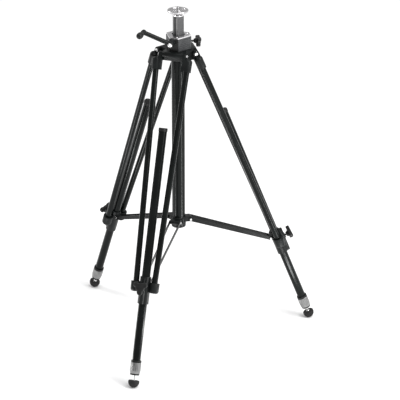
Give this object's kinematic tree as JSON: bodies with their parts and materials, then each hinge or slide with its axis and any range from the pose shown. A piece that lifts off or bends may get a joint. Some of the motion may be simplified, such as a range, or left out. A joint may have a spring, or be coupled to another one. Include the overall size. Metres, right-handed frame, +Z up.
{
  "type": "tripod with geared centre column",
  "caption": "Studio tripod with a crank-geared centre column, round head plate and stud, twin-tube legs, mid-level spreader, lock knobs and rubber feet.",
  "frame": {"origin": "on the surface that the feet stand on, at the centre of the footprint's box; the column axis is 99.8 mm behind it", "axes": "+Z up along the column; the front leg and the crank point along -Y, so the rear legs are to the right and left of +Y"},
  "size_m": [0.7234, 0.6308, 1.0083],
  "materials": {
    "black_tube": "satin black anodised drawn tube",
    "silver_tube": "bright drawn tube",
    "black_casting": "semi-gloss black paint on a die casting",
    "grey_casting": "semi-gloss charcoal paint on a die casting",
    "black_plastic": "moulded, fine grained",
    "silver_metal": "bare machined aluminium",
    "chrome": "bright plated",
    "rubber": "matt moulded rubber",
    "black_bar": "satin black painted flat bar",
    "steel": "cut and ground steel"
  },
  "bodies": {
    "shoulder": {"shoulder_casting": "black_casting", "gear_housing": "grey_casting", "housing_cover": "silver_metal", "cover_screws": "chrome", "column_bush": "black_plastic", "crank_bush": "chrome", "guard_tube": "black_tube", "guard_tube_cap": "black_plastic", "leg_hinge_bolts": "chrome"},
    "column": {"centre_column": "black_tube", "column_rack": "steel", "column_end_plug": "black_plastic", "head_plate": "silver_metal", "head_stud": "chrome", "plate_set_screws": "chrome"},
    "crank": {"crank_shaft": "steel", "crank_arm": "black_casting", "crank_screw": "chrome", "grip_pin": "chrome"},
    "grip": {"crank_grip": "black_plastic"},
    "column_lock": {"column_lock_knob": "black_plastic"},
    "spreader": {"spreader_hub": "black_casting"},
    "leg_front": {"upper_tubes_front": "black_tube", "hinge_ends_front": "black_casting", "leg_casting_front": "black_casting"},
    "leg_lock_front": {"leg_lock_knob_front": "black_plastic"},
    "lower_front": {"lower_tube_front": "black_tube", "lower_tube_ends_front": "black_plastic"},
    "collar_front": {"twist_collar_front": "silver_metal"},
    "foot_front": {"inner_tube_front": "silver_tube", "foot_stem_front": "chrome", "foot_rubber_front": "rubber"},
    "strut_front": {"strut_bars_front": "black_bar", "strut_screws_front": "chrome"},
    "leg_right": {"upper_tubes_right": "black_tube", "hinge_ends_right": "black_casting", "leg_casting_right": "black_casting"},
    "leg_lock_right": {"leg_lock_knob_right": "black_plastic"},
    "lower_right": {"lower_tube_right": "black_tube", "lower_tube_ends_right": "black_plastic"},
    "collar_right": {"twist_collar_right": "silver_metal"},
    "foot_right": {"inner_tube_right": "silver_tube", "foot_stem_right": "chrome", "foot_rubber_right": "rubber"},
    "strut_right": {"strut_bars_right": "black_bar", "strut_screws_right": "chrome"},
    "leg_left": {"upper_tubes_left": "black_tube", "hinge_ends_left": "black_casting", "leg_casting_left": "black_casting"},
    "leg_lock_left": {"leg_lock_knob_left": "black_plastic"},
    "lower_left": {"lower_tube_left": "black_tube", "lower_tube_ends_left": "black_plastic"},
    "collar_left": {"twist_collar_left": "silver_metal"},
    "foot_left": {"inner_tube_left": "silver_tube", "foot_stem_left": "chrome", "foot_rubber_left": "rubber"},
    "strut_left": {"strut_bars_left": "black_bar", "strut_screws_left": "chrome"}
  },
  "joints": [
    {"name": "crank_turn", "type": "hinge", "parent": "shoulder", "child": "crank", "pos_m": [-0.0035, 0.0998, 0.91229], "axis": [0, -1, 0], "range_deg": [-572.96, 3819.72]},
    {"name": "column_slide", "type": "slide", "parent": "shoulder", "child": "column", "axis": [0, 0, 1], "range_m": [-0.045, 0.3]},
    {"name": "grip_spin", "type": "hinge", "parent": "crank", "child": "grip", "pos_m": [-0.074, 0.0178, 0.94989], "axis": [0, -1, 0], "continuous": true},
    {"name": "column_lock_turn", "type": "hinge", "parent": "shoulder", "child": "column_lock", "pos_m": [0.03984, 0.1228, 0.90404], "axis": [0.866, 0.5, 0], "range_deg": [0, 180]},
    {"name": "spreader_slide", "type": "slide", "parent": "shoulder", "child": "spreader", "axis": [0, 0, 1], "range_m": [-0.001, 0.11507]},
    {"name": "leg_front_fold", "type": "hinge", "parent": "shoulder", "child": "leg_front", "pos_m": [0, 0.0553, 0.87729], "axis": [1, 0, 0], "range_deg": [0, 12.5]},
    {"name": "strut_front_swing", "type": "hinge", "parent": "leg_front", "child": "strut_front", "pos_m": [0, -0.17661, 0.27464], "axis": [1, 0, 0], "range_deg": [-1, 34.79]},
    {"name": "leg_lock_front_turn", "type": "hinge", "parent": "leg_front", "child": "leg_lock_front", "pos_m": [0, -0.22576, 0.27885], "axis": [0, -0.9232, 0.3843], "range_deg": [0, 180]},
    {"name": "lower_front_slide", "type": "slide", "parent": "leg_front", "child": "lower_front", "axis": [0, -0.3701, -0.929], "range_m": [-0.15, 0.39]},
    {"name": "collar_front_turn", "type": "hinge", "parent": "lower_front", "child": "collar_front", "pos_m": [0, -0.27886, 0.06756], "axis": [0, -0.3701, -0.929], "range_deg": [0, 120]},
    {"name": "inner_front_slide", "type": "slide", "parent": "lower_front", "child": "foot_front", "axis": [0, -0.3701, -0.929], "range_m": [0, 0.34]},
    {"name": "leg_right_fold", "type": "hinge", "parent": "shoulder", "child": "leg_right", "pos_m": [0.03854, 0.12205, 0.87729], "axis": [-0.5, 0.866, 0], "range_deg": [-0.5, 13]},
    {"name": "strut_right_swing", "type": "hinge", "parent": "leg_right", "child": "strut_right", "pos_m": [0.23938, 0.238, 0.27464], "axis": [-0.5, 0.866, 0], "range_deg": [-1, 34.79]},
    {"name": "leg_lock_right_turn", "type": "hinge", "parent": "leg_right", "child": "leg_lock_right", "pos_m": [0.28195, 0.26258, 0.27885], "axis": [0.7995, 0.4616, 0.3843], "range_deg": [0, 180]},
    {"name": "lower_right_slide", "type": "slide", "parent": "leg_right", "child": "lower_right", "axis": [0.3205, 0.185, -0.929], "range_m": [-0.15, 0.39]},
    {"name": "collar_right_turn", "type": "hinge", "parent": "lower_right", "child": "collar_right", "pos_m": [0.32793, 0.28913, 0.06756], "axis": [0.3205, 0.185, -0.929], "range_deg": [0, 120]},
    {"name": "inner_right_slide", "type": "slide", "parent": "lower_right", "child": "foot_right", "axis": [0.3205, 0.185, -0.929], "range_m": [0, 0.34]},
    {"name": "leg_left_fold", "type": "hinge", "parent": "shoulder", "child": "leg_left", "pos_m": [-0.03854, 0.12205, 0.87729], "axis": [-0.5, -0.866, 0], "range_deg": [-0.5, 13]},
    {"name": "strut_left_swing", "type": "hinge", "parent": "leg_left", "child": "strut_left", "pos_m": [-0.23938, 0.238, 0.27464], "axis": [-0.5, -0.866, 0], "range_deg": [-1, 34.79]},
    {"name": "leg_lock_left_turn", "type": "hinge", "parent": "leg_left", "child": "leg_lock_left", "pos_m": [-0.28195, 0.26258, 0.27885], "axis": [-0.7995, 0.4616, 0.3843], "range_deg": [0, 180]},
    {"name": "lower_left_slide", "type": "slide", "parent": "leg_left", "child": "lower_left", "axis": [-0.3205, 0.185, -0.929], "range_m": [-0.15, 0.39]},
    {"name": "collar_left_turn", "type": "hinge", "parent": "lower_left", "child": "collar_left", "pos_m": [-0.32793, 0.28913, 0.06756], "axis": [-0.3205, 0.185, -0.929], "range_deg": [0, 120]},
    {"name": "inner_left_slide", "type": "slide", "parent": "lower_left", "child": "foot_left", "axis": [-0.3205, 0.185, -0.929], "range_m": [0, 0.34]}
  ],
  "couplings": [
    {"joint": "column_slide", "follows": "crank_turn", "m_per_rad": 0.0045},
    {"joint": "spreader_slide", "follows": "leg_front_fold", "m_per_rad": 0.52287},
    {"joint": "strut_front_swing", "follows": "leg_front_fold", "ratio": 2.7031},
    {"joint": "leg_right_fold", "follows": "leg_front_fold", "ratio": 1},
    {"joint": "strut_right_swing", "follows": "leg_front_fold", "ratio": 2.7031},
    {"joint": "leg_left_fold", "follows": "leg_front_fold", "ratio": 1},
    {"joint": "strut_left_swing", "follows": "leg_front_fold", "ratio": 2.7031}
  ]
}
